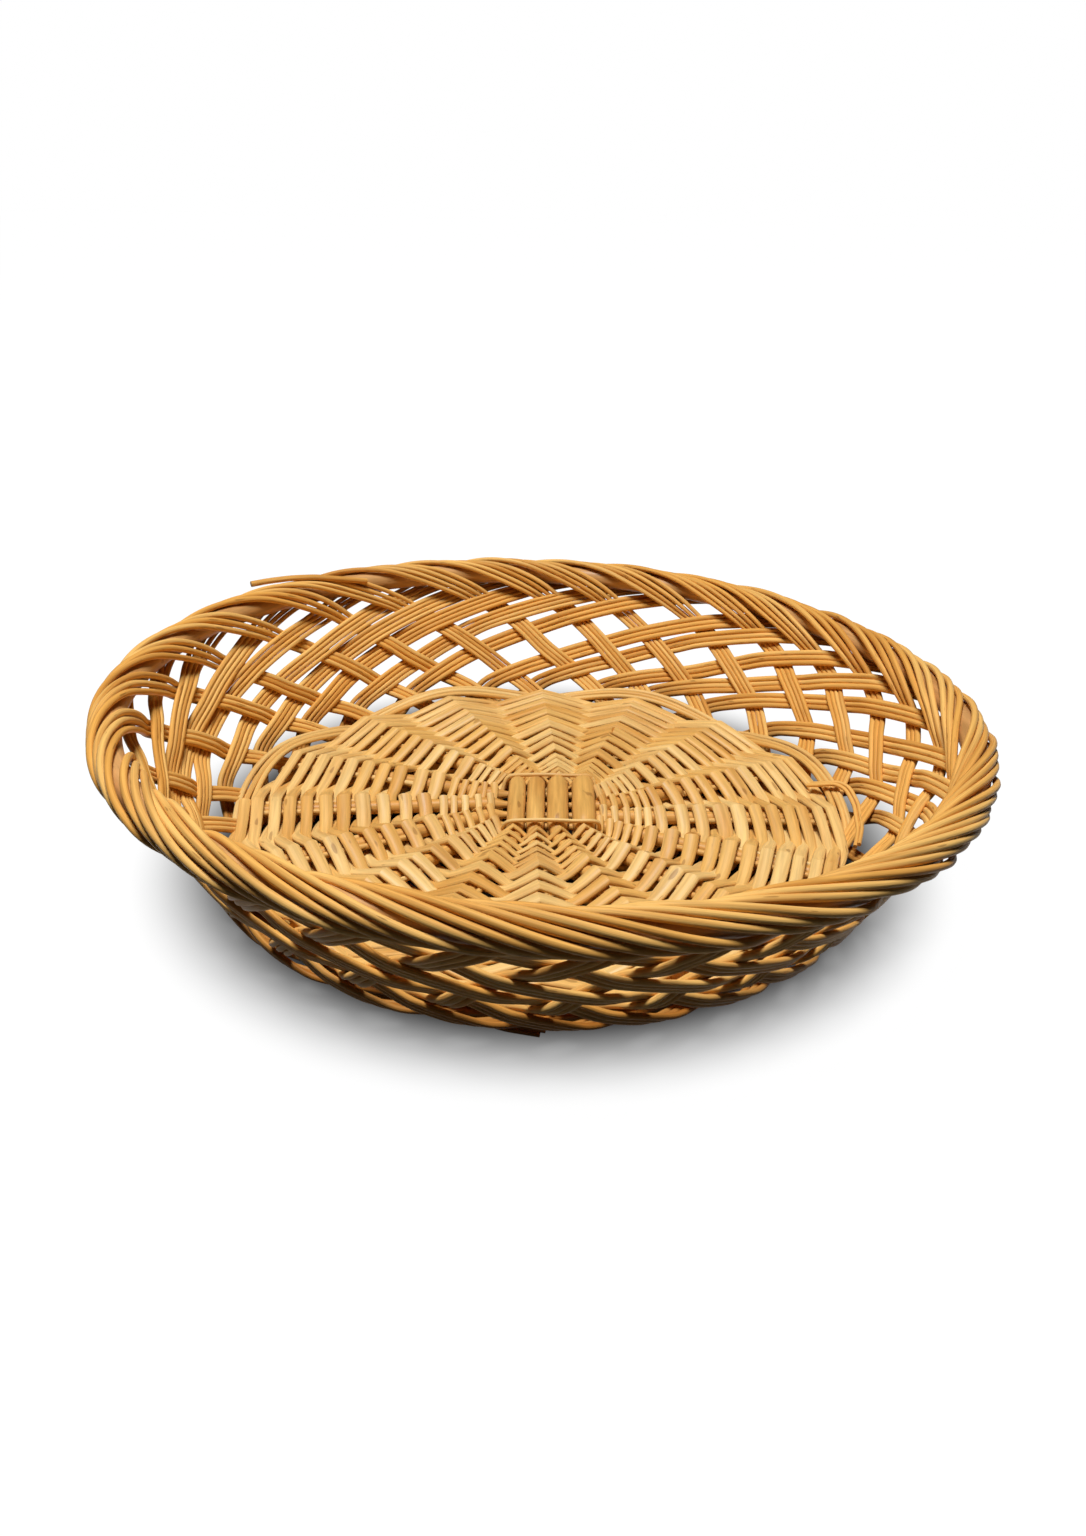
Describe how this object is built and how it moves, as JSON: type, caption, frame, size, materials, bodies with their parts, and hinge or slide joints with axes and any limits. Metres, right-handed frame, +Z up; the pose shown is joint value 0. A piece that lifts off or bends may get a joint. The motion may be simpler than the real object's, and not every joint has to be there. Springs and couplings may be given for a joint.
{
  "type": "round reed basket",
  "caption": "Round shallow open basket of woven reed: crossed-stick base, open lattice wall of rod bundles, rolled rim over a hoop, and a foot ring it stands on.",
  "frame": {"origin": "centre of the flat underside of the foot ring, on the surface the basket stands on", "axes": "+Z up out of the basket's mouth, -Y towards the viewer of the picture, +X to the viewer's right"},
  "size_m": [0.3142, 0.3144, 0.0744],
  "materials": {
    "wall_reed": "peeled reed, honey coloured, satin",
    "hoop_rod": "thick peeled rod, satin",
    "foot_reed": "peeled reed, darker, satin",
    "weaver_reed": "peeled reed, pale, satin",
    "base_stick": "peeled stick, satin"
  },
  "bodies": {
    "root": {"stake_01": "wall_reed", "stake_02": "wall_reed", "stake_03": "wall_reed", "stake_04": "wall_reed", "stake_05": "wall_reed", "stake_06": "wall_reed", "stake_07": "wall_reed", "stake_08": "wall_reed", "stake_09": "wall_reed", "stake_10": "wall_reed", "stake_11": "wall_reed", "stake_12": "wall_reed", "stake_13": "wall_reed", "stake_14": "wall_reed", "stake_15": "wall_reed", "stake_16": "wall_reed", "stake_17": "wall_reed", "stake_18": "wall_reed", "stake_19": "wall_reed", "stake_20": "wall_reed", "stake_21": "wall_reed", "stake_22": "wall_reed", "stake_23": "wall_reed", "stake_24": "wall_reed", "stake_25": "wall_reed", "stake_26": "wall_reed", "stake_27": "wall_reed", "rim_hoop": "hoop_rod", "foot_ring": "foot_reed", "weaver_a": "weaver_reed", "weaver_b": "weaver_reed", "slath_binding": "weaver_reed", "slit_stick_1": "base_stick", "slit_stick_2": "base_stick", "slit_stick_3": "base_stick", "slit_stick_4": "base_stick", "through_stick_1": "base_stick", "through_stick_2": "base_stick", "through_stick_3": "base_stick", "through_stick_4": "base_stick"}
  },
  "joints": []
}
